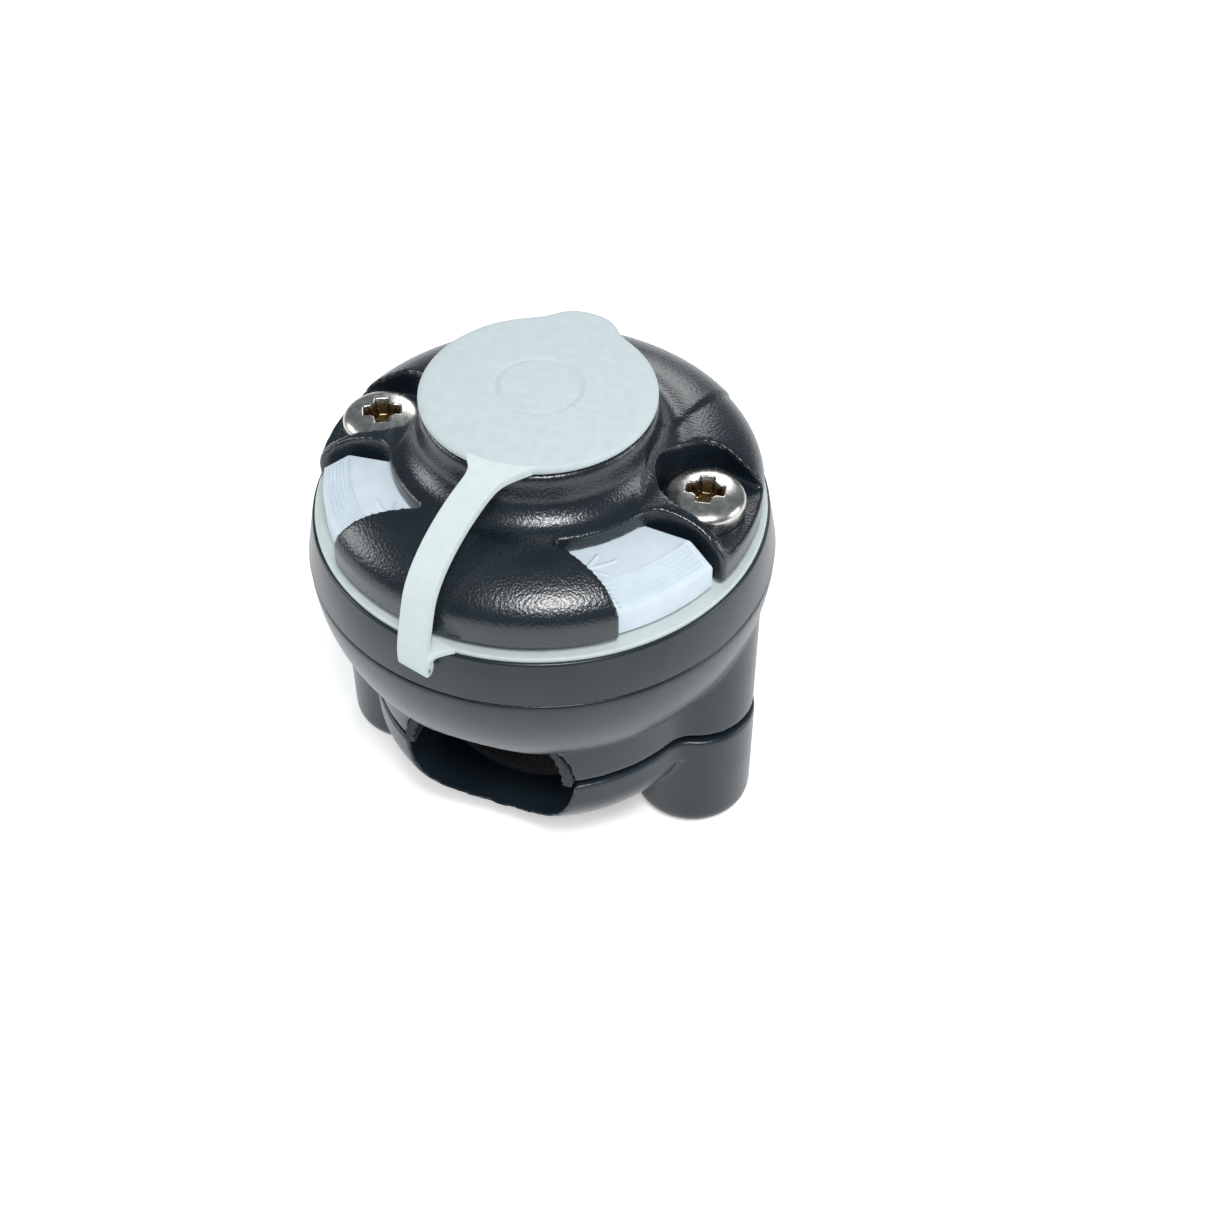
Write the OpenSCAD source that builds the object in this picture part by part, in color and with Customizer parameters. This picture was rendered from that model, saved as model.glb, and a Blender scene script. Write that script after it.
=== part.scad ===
// Rail-mount accessory socket: a capped lock socket bolted onto a two-part rail clamp.
// The origin is on the rail's axis under the socket's axis. The rail runs along Y, +Z is up.

/* [Rail] */
// Outer diameter of the rail that the liners grip
rail_d = 25.4; // [22:0.1:28]
// Thickness of the rubber liners between rail and clamp
liner_t = 1.5; // [1:0.1:2]

/* [Clamp] */
// Diameter of the body where the base ring meets the clamp
base_d = 73; // [72:0.5:90]
// Height of that seam above the rail's axis
clamp_h = 28; // [26:0.5:36]
// Distance of each bolt axis inside the body's edge
bolt_edge = 10.3; // [9:0.1:10.5]
// Radius of the lobes around the bolts
lobe_r = 9.8; // [8.5:0.1:10.5]
// Depth of the lobes below the rail's axis
lobe_drop = 22; // [20:0.5:30]
// Wall of the lower clamp under the rail
saddle_wall = 2.8; // [2:0.1:4]
// Gap between the clamp halves when they are tight on the rail
split_gap = 1; // [0.5:0.1:1.5]
// How far the lower clamp drops when the bolts are slackened
slack = 2.5; // [1:0.5:3]

/* [Base ring] */
// Height of the base ring
ring_h = 7.5; // [6:0.5:10]
// How far the base ring's lip is drawn in from its foot
ring_draft = 1.2; // [0.8:0.1:2]
// Height of the gasket band
gasket_h = 1.5; // [1:0.1:2]

/* [Socket] */
// Bore of the accessory socket
socket_d = 28; // [26:0.5:30]
// How much wider than the bore the socket's mouth is all round, where the cap's plug sits
lead_step = 0.8; // [0.5:0.1:1.5]
// Depth of that mouth
lead_depth = 5; // [4:0.5:7]
// Wall of the socket barrel
barrel_wall = 3; // [2.5:0.1:3.5]
// Height of the dome above the retainer plate
dome_h = 18.3; // [17:0.1:23]
// Thickness of the retainer plate
plate_t = 1.5; // [1.2:0.1:2]
// Number of key notches in the socket bore
notches = 6; // [4:1:7]
// Width of a key notch
notch_w = 2.4; // [2:0.1:3]

/* [Lock sliders] */
// Start of each slider, in degrees forward of the bolts
slider_start = 19.5; // [18.5:0.5:21]
// End of each slider under the front of the dome, in degrees
slider_end = 66; // [64:0.5:68]
// Travel of each slider, in degrees
slider_travel = 8; // [5:0.5:9]
// Height of the slider's grip edge above the dome's foot
grip_z = 4.4; // [3.8:0.1:4.6]

/* [Cap] */
// How far the cap's disc reaches past the bore
cap_rim = 3.7; // [3:0.1:4]
// Thickness of the cap's disc at its edge
cap_t = 1.5; // [1.2:0.1:2]
// Crown of the cap's top
cap_crown = 0.7; // [0.3:0.1:1]
// Depth of the plug under the cap
plug_h = 4.5; // [3:0.5:6]
// Width of the tether strap
strap_w = 5.1; // [4:0.1:6]
// Thickness of the tether strap
strap_t = 1.3; // [1:0.1:1.6]

/* [Bolts] */
// Shank diameter
bolt_d = 6; // [5:0.5:6]
// How far the shank's end stays above the lobe's bottom
bolt_inset = 3.5; // [3:0.5:5]
// Head diameter
head_d = 12.3; // [11.5:0.1:12.6]
// Head height
head_h = 4.2; // [3.5:0.1:4.6]
// Width across the nut's flats
nut_af = 10; // [9:0.5:10]
// Height of the nut
nut_h = 6; // [5:0.5:6]

/* [Hidden] */
$fn = 96;
eps = 0.01;

// Clearances
fit = 0.05;        // running fit of a thread or plug
gap = 0.3;         // between pieces that move past each other
hole_gap = 0.3;    // radial clearance of the bolt holes

// Main radii and heights
base_r = base_d / 2;
bolt_x = base_r - bolt_edge;
bore_r = rail_d / 2 + liner_t;
half_gap = split_gap / 2;
ring_top = clamp_h + ring_h;
plate_top = ring_top + plate_t;
foot = plate_top;
collar_top = foot + dome_h;
lip_r = base_r - ring_draft;

// Clamp outline
mouth_r = base_r - 8;
saddle_z = bore_r + saddle_wall;
saddle_r = base_r - 21;
crease_z = 9;
wall_drop = 4.5;
web_r = 5;
lobe_round = 3;
hole_r = bolt_d / 2 + hole_gap;
recess_r = socket_d / 2;
recess_z = bore_r + 4;

// Gasket
gasket_z = ring_top - 0.8;
gasket_out = lip_r - 0.5;
gasket_in = base_r - 6;
bead_in = gasket_in + 0.2;
bead_out = gasket_in + 1.4;

// Dome
skirt_r = base_r - 2.2;
socket_r = socket_d / 2;
barrel_r = socket_r + barrel_wall;
collar_r = socket_r + 4.3;
valley_r = collar_r + 4.2;
seat_z = foot + 4.5;
pocket_r = head_d / 2 + 1.3;
pocket_front = head_d / 2 + 0.35;
pocket_back = head_d / 2 + 3.05;
pocket_skew = 3.5;
notch_depth = 1.2;
notch_len = 10;
lead_r = socket_r + lead_step;

// Retainer plate and its screws
plate_r = gasket_in - 0.5;
drain_r = 3;
screw_r = 1.25;
screw_head_r = 2.6;
screw_head_h = 1.6;
screw_len = 6;
screw_pitch_r = barrel_r + 5;
screw_angles = [-90, 48, 132];

// Lock sliders, drawn for the right-hand side. Inside the corner, the rear ends run square across.
slot_rear = slider_start - 2.5;
slot_square = pocket_front + 1.9;
slider_square = slot_square + 1.35;
slot_in_r = base_r - 13.9;
slot_front_in = slider_end - 2.5;
slot_front_out = slider_end - 16.7;
slider_z = foot + 0.4;
slider_in = barrel_r + gap;
slider_out = skirt_r - 1.3;
slider_mid_r = skirt_r - 5.5;
slider_top_in = foot + 7.9;
slider_top_mid = foot + 7.2;
slider_edge = foot + grip_z;
grip_slope = (slider_top_mid - slider_edge) / (slider_out - slider_mid_r);
tongue_out = skirt_r - 3.1;
pawl_start = slider_start + 17.5;
pawl_angle = 9;
pawl_z = foot + 4;
pawl_h = 2.2;
grip_ribs = 8;
rib_pitch = 0.55;
rib_h = 0.25;

// Slider springs
wire_r = 0.28;
coil_r = 1.6;
coil_turns = 6;
spring_stop = 86.5;
spring_r = (slider_in + tongue_out) / 2 + 1.5;
spring_z = foot + 3;

// Cap and strap
cap_r = socket_r + cap_rim;
cap_z = collar_top + gap;
plug_r = lead_r - gap;
plug_wall = 1.6;
tab_r = 6.2;
tab_reach = 2.8;
strap_turn = -16;
strap_x = 5.5;

// Bolts and nuts
bolt_end = -lobe_drop + bolt_inset;
bolt_len = seat_z - bolt_end;
nut_z = bolt_end + slack;
nut_top = nut_z + nut_h;
nut_gap = 0.15;
insert_h = 1.6;
insert_r = 4.2;

// A point at radius r and angle a in plan
function polar(r, a) = [r * cos(a), r * sin(a)];

// Points of an arc in plan from angle a0 to angle a1
function arc(r, a0, a1, n = 16) = [for (i = [0:n]) polar(r, a0 + (a1 - a0) * i / n)];

// Points of an arc about a centre
function arc_at(c, r, a0, a1, n = 8) = [for (p = arc(r, a0, a1, n)) c + p];

// Points of a cubic curve
function curve(a, b, c, d, n = 8) = [for (i = [0:n]) let (t = i / n, s = 1 - t)
    s * s * s * a + 3 * s * s * t * b + 3 * s * t * t * c + t * t * t * d];

// The pieces that come in pairs are drawn on the right and mirrored to the left
module on_left() { mirror([1, 0, 0]) children(); }
module at_bolts() { for (side = [-1, 1]) translate([side * bolt_x, 0, 0]) children(); }
module turned(points) { rotate_extrude() polygon(points); }
module sector(points, from, to) {
    rotate([0, 0, -to]) rotate_extrude(angle = to - from) polygon(points);
}
module along_rail(r, half) { rotate([90, 0, 0]) cylinder(r = r, h = 2 * half, center = true); }

// The part of a shape that lies more than y ahead of the bolts
module ahead_of(y) {
    reach = base_d;
    intersection() {
        children();
        translate([-reach, -reach - y, -reach]) cube([2 * reach, reach, 3 * reach]);
    }
}

// Upper bowl: it bellies out from the crease to the seam
module upper_bowl() {
    turned(concat([[0, crease_z]],
        curve([mouth_r, crease_z], [mouth_r + 3, crease_z + 1.2], [base_r - 0.3, clamp_h - 10],
            [base_r, clamp_h], 10),
        [[0, clamp_h]]));
}

// Lower bowl: a short wall under the split, closing under the rail
module lower_bowl() {
    turned(concat([[0, -saddle_z]],
        curve([saddle_r, -saddle_z], [saddle_r + 5, -saddle_z + 0.5], [mouth_r, -10],
            [mouth_r, -wall_drop], 10),
        [[mouth_r, -half_gap], [0, -half_gap]]));
}

module lower_lobe() {
    turned(concat([[0, -lobe_drop]],
        arc_at([lobe_r - lobe_round, -lobe_drop + lobe_round], lobe_round, -90, 0),
        [[lobe_r, -half_gap], [0, -half_gap]]));
}

// Webs that run the round wall into the lobes with a hollow curve
module webs(h) {
    a = mouth_r - 0.1 + web_r;
    b = lobe_r - 0.4 + web_r;
    turn = acos((a * a + bolt_x * bolt_x - b * b) / (2 * a * bolt_x));
    c = polar(a, turn);
    hollow = arc_at(c, web_r, turn + 180, 360 + atan2(-c[1], bolt_x - c[0]), 6);
    back = [for (i = [len(hollow) - 1:-1:0]) [hollow[i][0], -hollow[i][1]]];
    for (side = [0, 1]) mirror([side, 0, 0]) linear_extrude(h)
        polygon(concat([[2, 0]], hollow, [[bolt_x, 0]], back));
}

module upper_clamp() {
    color("#23272b") difference() {
        union() {
            upper_bowl();
            translate([0, 0, half_gap]) cylinder(r = mouth_r, h = crease_z);
            at_bolts() translate([0, 0, half_gap]) cylinder(r = lobe_r - 0.3, h = clamp_h - 6);
            translate([0, 0, half_gap]) webs(clamp_h - 8);
        }
        along_rail(bore_r, base_r + 5);
        at_bolts() translate([0, 0, -1]) cylinder(r = hole_r, h = clamp_h + 2);
        translate([0, 0, recess_z]) cylinder(r = recess_r, h = clamp_h);
    }
}

module lower_clamp() {
    color("#23272b") difference() {
        union() {
            lower_bowl();
            at_bolts() lower_lobe();
            translate([0, 0, -wall_drop]) webs(wall_drop - half_gap);
        }
        along_rail(bore_r, base_r + 5);
        at_bolts() {
            translate([0, 0, -lobe_drop - 1]) cylinder(r = hole_r, h = lobe_drop + 2);
            translate([0, 0, -lobe_drop - 1]) rotate([0, 0, 30])
                cylinder(r = (nut_af / 2 + nut_gap) / cos(30), h = nut_top + lobe_drop + 1, $fn = 6);
        }
    }
}

// Half of the rubber tube that lines the clamp
module liner(half_len, side) {
    color("#3a3f44") intersection() {
        difference() {
            along_rail(bore_r, half_len);
            along_rail(rail_d / 2, half_len + 1);
        }
        translate([-bore_r - 1, -half_len - 1, side > 0 ? half_gap : -bore_r - 1])
            cube([2 * bore_r + 2, 2 * half_len + 2, bore_r + 1 - half_gap]);
    }
}

module upper_liner() { liner(mouth_r - 3, 1); }
module lower_liner() { liner(saddle_r - 1.5, -1); }

module base_ring() {
    lip = 0.5;
    color("#1f2327") difference() {
        turned(concat([[recess_r, clamp_h], [base_r, clamp_h]],
            arc_at([lip_r - lip, ring_top - lip], lip, 15, 90),
            [[gasket_out + 0.05, ring_top], [gasket_out + 0.05, gasket_z], [gasket_in - 0.05, gasket_z],
                [gasket_in - 0.05, ring_top], [recess_r, ring_top]]));
        at_bolts() translate([0, 0, clamp_h - 1]) cylinder(r = hole_r, h = ring_h + 2);
        for (a = screw_angles) rotate([0, 0, a]) translate([screw_pitch_r, 0, clamp_h + 3])
            cylinder(r = screw_head_r + gap, h = ring_h);
    }
}

module gasket_ring() {
    color("#cdd6d5") turned([[gasket_in, gasket_z], [gasket_out, gasket_z],
        [gasket_out, gasket_z + gasket_h - 0.3], [gasket_out - 0.3, gasket_z + gasket_h],
        [bead_out, gasket_z + gasket_h], [bead_out, foot], [bead_in, foot],
        [bead_in, gasket_z + gasket_h], [gasket_in, gasket_z + gasket_h]]);
}

module retainer_plate() {
    color("#34393e") difference() {
        translate([0, 0, ring_top]) cylinder(r = plate_r, h = plate_t);
        translate([0, 0, ring_top - 1]) cylinder(r = drain_r, h = plate_t + 2);
        at_bolts() translate([0, 0, ring_top - 1]) cylinder(r = hole_r, h = plate_t + 2);
        for (a = screw_angles) rotate([0, 0, a]) translate([screw_pitch_r, 0, ring_top - 1])
            cylinder(r = screw_r + 0.2, h = plate_t + 2);
    }
}

module plate_screws() {
    color("#b9bdbf") for (a = screw_angles) rotate([0, 0, a]) translate([screw_pitch_r, 0, ring_top])
        turned([[0, -screw_head_h], [screw_head_r, -screw_head_h], [screw_head_r, 0], [screw_r, 0],
            [screw_r, screw_len - 0.8], [0, screw_len]]);
}

// Dome outline: collar, valley, shoulder and skirt
module dome_body() {
    collar_in = [collar_r, foot + 13.5];
    valley = [valley_r, foot + 10.8];
    shoulder = [skirt_r - 5.3, foot + 9.2];
    skirt = [skirt_r, foot + 3.6];
    turned(concat([[0, foot], [skirt_r - 0.9, foot], [skirt_r, foot + 0.9]],
        curve(skirt, skirt + [0, 2.6], shoulder + [2.6, -1.2], shoulder, 8),
        curve(shoulder, shoulder + [-2.4, 1.1], valley + [1.6, 0.1], valley, 5),
        curve(valley, valley + [-2, -0.1], collar_in + [1, -1.6], collar_in, 6),
        curve(collar_in, collar_in + [-0.7, 1.4], [collar_r + 0.1, collar_top],
            [collar_r - 1.4, collar_top], 6),
        [[0, collar_top]]));
}

// Plan of the opening that shows a slider
module slot_plan() {
    far = base_r + 5;
    corner = asin(slot_square / slot_in_r) + 4;
    bend = slot_square / sin(slot_rear);
    polygon(concat(arc(slot_in_r, -corner, -slot_front_in, 14),
        curve(polar(slot_in_r, -slot_front_in), polar(slot_in_r + 1.9, -slot_front_in + 3.5),
            polar(skirt_r - 5.3, -slot_front_out - 1.2), polar(skirt_r, -slot_front_out), 8),
        [polar(far, -slot_front_out), polar(far + 3, -slot_rear - 12), polar(far, -slot_rear)],
        curve(polar(bend + 1.5, -slot_rear), polar(bend + 0.5, -slot_rear), [bend - 2, -slot_square],
            [bend - 3, -slot_square], 5),
        curve([slot_in_r + 1, -slot_square], [slot_in_r - 0.5, -slot_square],
            polar(slot_in_r, -corner + 2), polar(slot_in_r, -corner), 5)));
}

// Room that a slider needs under the dome: its own space, the spring's, and the pawl's window
module slider_room() {
    head = gap + 0.2;
    ahead_of(slot_square + 0.4) sector([[barrel_r, foot - 1], [tongue_out + gap, foot - 1],
        [tongue_out + gap, grip_top(tongue_out) + head], [slider_mid_r, slider_top_mid + head],
        [slot_in_r + 0.8, slider_top_in + head], [barrel_r, slider_top_in + head - 2]],
        slot_rear + 0.7, spring_stop);
    sector([[tongue_out - 1, foot - 2], [slider_out + gap, foot - 2], [slider_out + gap, slider_edge + head],
        [tongue_out - 1, grip_top(tongue_out - 1) + head]], slot_rear + 6, slot_front_out + slider_travel + 1);
    sector([[socket_r - 1, pawl_z - gap], [barrel_r + 1, pawl_z - gap],
        [barrel_r + 1, pawl_z + pawl_h + gap], [socket_r - 1, pawl_z + pawl_h + gap]],
        pawl_start - 2, pawl_start + pawl_angle + slider_travel + 2);
}

// Plan of the pocket round a bolt's head, open towards the skirt
module pocket_plan() {
    far = bolt_edge + 2;
    polygon(concat([[far, -pocket_front - pocket_skew]],
        [for (a = [-90:-10:-180]) [pocket_r * cos(a), pocket_front * sin(a)]],
        [for (a = [170:-10:90]) [pocket_r * cos(a), pocket_back * sin(a)]],
        [[far, pocket_back - pocket_skew]]));
}

module bolt_pocket() {
    translate([bolt_x, 0, 0]) {
        translate([0, 0, foot - 1]) cylinder(r = hole_r, h = dome_h);
        translate([0, 0, seat_z]) linear_extrude(dome_h) pocket_plan();
    }
}

module socket_dome() {
    color("#1a1d21") difference() {
        dome_body();
        translate([0, 0, foot - 1]) cylinder(r = socket_r, h = dome_h + 2);
        translate([0, 0, collar_top - lead_depth]) cylinder(r = lead_r, h = lead_depth + 1);
        for (i = [0:notches - 1]) rotate([0, 0, 90 + i * 360 / notches])
            translate([socket_r - 1, -notch_w / 2, collar_top - notch_len])
                cube([notch_depth + 1, notch_w, notch_len + 1]);
        for (side = [0, 1]) mirror([side, 0, 0]) {
            translate([0, 0, foot - 1]) linear_extrude(dome_h + 2) slot_plan();
            slider_room();
            bolt_pocket();
        }
        sector([[barrel_r + 2, foot - 1], [skirt_r - 2.6, foot - 1], [skirt_r - 2.6, foot + 4],
            [valley_r + 3, foot + 7], [barrel_r + 2, foot + 7]], -118, -62);
        for (a = screw_angles) rotate([0, 0, a]) translate([screw_pitch_r, 0, foot - 1])
            cylinder(r = screw_r + 0.02, h = screw_len + 1);
    }
}

// Height of a slider's sloping grip at radius r
function grip_top(r) = slider_edge + (slider_out - r) * grip_slope;

// A slider: curved plate with a ribbed grip, a tongue under the dome and a pawl into the socket
module lock_slider() {
    color("#d4dfe8") ahead_of(slider_square) {
        sector([[slider_in, slider_z], [slider_out - 0.8, slider_z], [slider_out, slider_z + 0.8],
            [slider_out, slider_edge], [slider_mid_r, slider_top_mid],
            [slot_in_r - 0.4, slider_top_in], [slider_in, slider_top_in - 2]],
            slider_start, slot_front_out);
        sector([[slider_in, slider_z], [tongue_out, slider_z], [tongue_out, grip_top(tongue_out)],
            [slider_mid_r, slider_top_mid], [slot_in_r - 0.4, slider_top_in],
            [slider_in, slider_top_in - 2]], slot_front_out - eps, slider_end);
        sector([[socket_r + 0.6, pawl_z], [slider_in + 0.5, pawl_z], [slider_in + 0.5, pawl_z + pawl_h],
            [socket_r + 0.6, pawl_z + pawl_h]], pawl_start, pawl_start + pawl_angle);
        for (i = [0:grip_ribs - 1]) {
            r = slider_out - 0.4 - i * rib_pitch;
            sector([[r - 0.2, grip_top(r) - 0.5], [r + 0.2, grip_top(r) - 0.5],
                [r + 0.12, grip_top(r) + rib_h], [r - 0.12, grip_top(r) + rib_h]],
                slider_start + 1.5, slot_front_out - 3);
        }
    }
}

module lock_slider_right() { lock_slider(); }
module lock_slider_left() { on_left() lock_slider(); }

// Compression spring between a slider's tongue and the web at the front of the dome
module slider_spring() {
    steps = 14;
    sides = 8;
    n = coil_turns * steps;
    from = polar(spring_r, -slider_end - 0.6);
    to = polar(spring_r, -spring_stop + 0.6);
    len = norm(to - from) - 2 * wire_r;
    rings = [for (i = [0:n]) let (a = 360 * i / steps, z = wire_r + len * i / n)
        [for (k = [0:sides - 1]) let (b = 360 * k / sides, r = coil_r - wire_r + wire_r * cos(b))
            [r * cos(a), r * sin(a), z + wire_r * sin(b)]]];
    points = [for (ring = rings) for (p = ring) p];
    faces = concat([[for (k = [0:sides - 1]) k]],
        [for (i = [0:n - 1]) for (k = [0:sides - 1]) let (j = (k + 1) % sides)
            [i * sides + k, (i + 1) * sides + k, (i + 1) * sides + j, i * sides + j]],
        [[for (k = [sides - 1:-1:0]) n * sides + k]]);
    heading = atan2(to[1] - from[1], to[0] - from[0]);
    color("#c2c6c8") translate([from[0], from[1], spring_z]) rotate([0, 90, heading])
        polyhedron(points, faces, convexity = 10);
}

module slider_spring_right() { slider_spring(); }
module slider_spring_left() { on_left() slider_spring(); }

// Rubber cap with a crowned top, a pull tab at the back and a plug that fits the socket
module cap() {
    color("#c4d1d3") difference() {
        union() {
            turned(concat([[0, cap_z], [cap_r - 0.3, cap_z], [cap_r, cap_z + 0.3]],
                arc_at([cap_r - 0.5, cap_z + cap_t - 0.5], 0.5, 0, 80, 4),
                [[cap_r * 0.6, cap_z + cap_t + cap_crown * 0.7], [0, cap_z + cap_t + cap_crown]]));
            translate([0, 0, cap_z - plug_h]) cylinder(r1 = plug_r - 0.7, r2 = plug_r - 0.2, h = plug_h);
            translate([0, cap_r + tab_reach - tab_r, cap_z]) cylinder(r = tab_r, h = cap_t);
        }
        translate([0, 0, cap_z - plug_h - 1]) cylinder(r = plug_r - plug_wall - 0.5, h = plug_h + 1);
    }
}

// Tether from the cap's front edge, over the dome and back under to the gasket. It leaves the cap
// askew, towards the left-hand slider.
module tether_strap() {
    t = strap_t;
    neck = [cap_r - 2.5, cap_z + cap_t - 0.2];
    bow = [skirt_r + 1.2, foot + 7];
    low = [base_r + 1.1, gasket_z - 2.2];
    over = [lip_r + 0.35, ring_top + 0.15];
    root = gasket_out - 1;
    outer = concat(curve(neck, neck + [5, 0.5], bow + [-2.2, 7.5], bow, 12),
        curve(bow, bow + [1.3, -4.4], low + [0.3, 2.4], low, 6));
    tongue = [low + [-0.5, -0.6], low + [-1.2, -0.3], low + [-t, 1.1], over, [root, over[1]],
        [root, gasket_z + gasket_h], over + [0.05, 1.15]];
    inner = concat(curve(over + [0.5, 1.5], over + [0.9, 2.4], bow + [-t + 0.5, -3], bow + [-t, -0.3], 5),
        curve(bow + [-t, -0.3], bow + [-t - 2.2, 6.6], neck + [5, 0.5 - t], neck + [0, -t], 12));
    color("#dce6e6") difference() {
        rotate([0, 0, strap_turn]) translate([strap_x, 0, 0])
            rotate([90, 0, -90]) translate([0, 0, -strap_w / 2]) linear_extrude(strap_w)
                polygon(concat(outer, tongue, inner));
        translate([0, 0, collar_top - 2]) cylinder(r = cap_r + gap, h = 6);
    }
}

// Pan-head bolt with a cross recess
module bolt() {
    crown = 1.6;
    edge_r = head_d / 2;
    color("#c9c8c2") translate([0, 0, seat_z]) difference() {
        turned(concat([[0, -bolt_len], [bolt_d / 2 - 0.6, -bolt_len], [bolt_d / 2, -bolt_len + 0.6],
            [bolt_d / 2, 0], [edge_r, 0]],
            curve([edge_r, head_h - crown], [edge_r - 0.2, head_h - 0.5], [edge_r * 0.6, head_h],
                [0, head_h], 8)));
        for (a = [20, 110]) rotate([0, 0, a]) translate([-3.4, -0.9, head_h - 2.4]) cube([6.8, 1.8, 3]);
        translate([0, 0, head_h - 2.8]) cylinder(r1 = 1.2, r2 = 2, h = 3);
    }
}

module bolt_right() { translate([bolt_x, 0, 0]) bolt(); }
module bolt_left() { translate([-bolt_x, 0, 0]) bolt(); }

// Lock nut: a hexagon with a round collar that holds the nylon insert
module nut() {
    color("#b5b8ba") translate([0, 0, nut_z]) difference() {
        union() {
            translate([0, 0, insert_h]) rotate([0, 0, 30])
                cylinder(r = nut_af / 2 / cos(30), h = nut_h - insert_h, $fn = 6);
            cylinder(r = nut_af / 2 - 0.2, h = nut_h / 2);
        }
        translate([0, 0, -1]) cylinder(r = bolt_d / 2 + fit, h = nut_h + 2);
        translate([0, 0, -1]) cylinder(r = insert_r, h = insert_h + 1);
    }
}

module nut_right() { translate([bolt_x, 0, 0]) nut(); }
module nut_left() { translate([-bolt_x, 0, 0]) nut(); }

module nut_insert() {
    color("#3f6fa8") translate([0, 0, nut_z]) difference() {
        cylinder(r = insert_r, h = insert_h);
        translate([0, 0, -1]) cylinder(r = bolt_d / 2 + fit, h = insert_h + 2);
    }
}

module nut_insert_right() { translate([bolt_x, 0, 0]) nut_insert(); }
module nut_insert_left() { translate([-bolt_x, 0, 0]) nut_insert(); }

upper_clamp();
lower_clamp();
upper_liner();
lower_liner();
base_ring();
gasket_ring();
retainer_plate();
plate_screws();
socket_dome();
lock_slider_right();
lock_slider_left();
slider_spring_right();
slider_spring_left();
cap();
tether_strap();
bolt_right();
bolt_left();
nut_right();
nut_left();
nut_insert_right();
nut_insert_left();
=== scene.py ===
from math import acos, asin, atan2, cos, degrees, exp, hypot, pi, radians, sin, sqrt

import bpy
from mathutils import Matrix, Vector


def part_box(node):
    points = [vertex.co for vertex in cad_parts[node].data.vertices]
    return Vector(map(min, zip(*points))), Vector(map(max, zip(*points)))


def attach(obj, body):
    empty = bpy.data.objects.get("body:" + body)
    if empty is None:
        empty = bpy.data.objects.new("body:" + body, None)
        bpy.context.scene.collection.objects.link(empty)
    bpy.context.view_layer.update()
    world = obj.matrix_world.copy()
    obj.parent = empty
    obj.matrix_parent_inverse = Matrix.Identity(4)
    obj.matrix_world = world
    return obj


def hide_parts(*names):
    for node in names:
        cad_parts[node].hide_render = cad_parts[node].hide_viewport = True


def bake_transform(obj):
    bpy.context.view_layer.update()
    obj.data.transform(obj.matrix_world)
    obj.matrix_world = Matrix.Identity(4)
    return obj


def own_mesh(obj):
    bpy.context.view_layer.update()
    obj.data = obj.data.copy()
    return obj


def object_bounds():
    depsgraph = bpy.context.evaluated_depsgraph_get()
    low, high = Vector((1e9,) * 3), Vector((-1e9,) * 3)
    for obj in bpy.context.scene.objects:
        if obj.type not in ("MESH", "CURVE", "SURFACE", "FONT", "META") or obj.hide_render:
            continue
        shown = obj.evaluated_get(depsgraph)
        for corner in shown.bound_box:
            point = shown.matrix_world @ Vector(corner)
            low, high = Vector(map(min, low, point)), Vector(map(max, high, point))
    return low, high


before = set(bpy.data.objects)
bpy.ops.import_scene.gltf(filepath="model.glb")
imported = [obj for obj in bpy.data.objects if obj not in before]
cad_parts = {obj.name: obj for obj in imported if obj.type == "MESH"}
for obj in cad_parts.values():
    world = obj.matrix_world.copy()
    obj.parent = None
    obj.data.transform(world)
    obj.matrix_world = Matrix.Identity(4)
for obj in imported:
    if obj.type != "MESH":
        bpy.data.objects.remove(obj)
cad_low, cad_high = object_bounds()

# ---------------------------------------------------------------------------------------------
# Camera, floor and lamps
# A three-quarter view from above, on a pale table under soft lamps.
# ---------------------------------------------------------------------------------------------
MM = 0.001
view_azimuth = radians(20.37)
view_elevation = radians(45.29)
view_distance = 300 * MM
aim = Vector((12.3, -4.18, 19.88)) * MM

camera = bpy.data.objects.new("camera", bpy.data.cameras.new("camera"))
bpy.context.collection.objects.link(camera)
camera.data.lens = 56.64
camera.data.sensor_width = 36
camera.data.clip_start = 0.01
camera.rotation_euler = (pi / 2 - view_elevation, 0, view_azimuth)
level = cos(view_elevation)
towards_camera = Vector((sin(view_azimuth) * level, -cos(view_azimuth) * level, sin(view_elevation)))
camera.location = aim + towards_camera * view_distance
bpy.context.scene.camera = camera
bpy.context.scene.view_settings.view_transform = "Standard"


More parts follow.
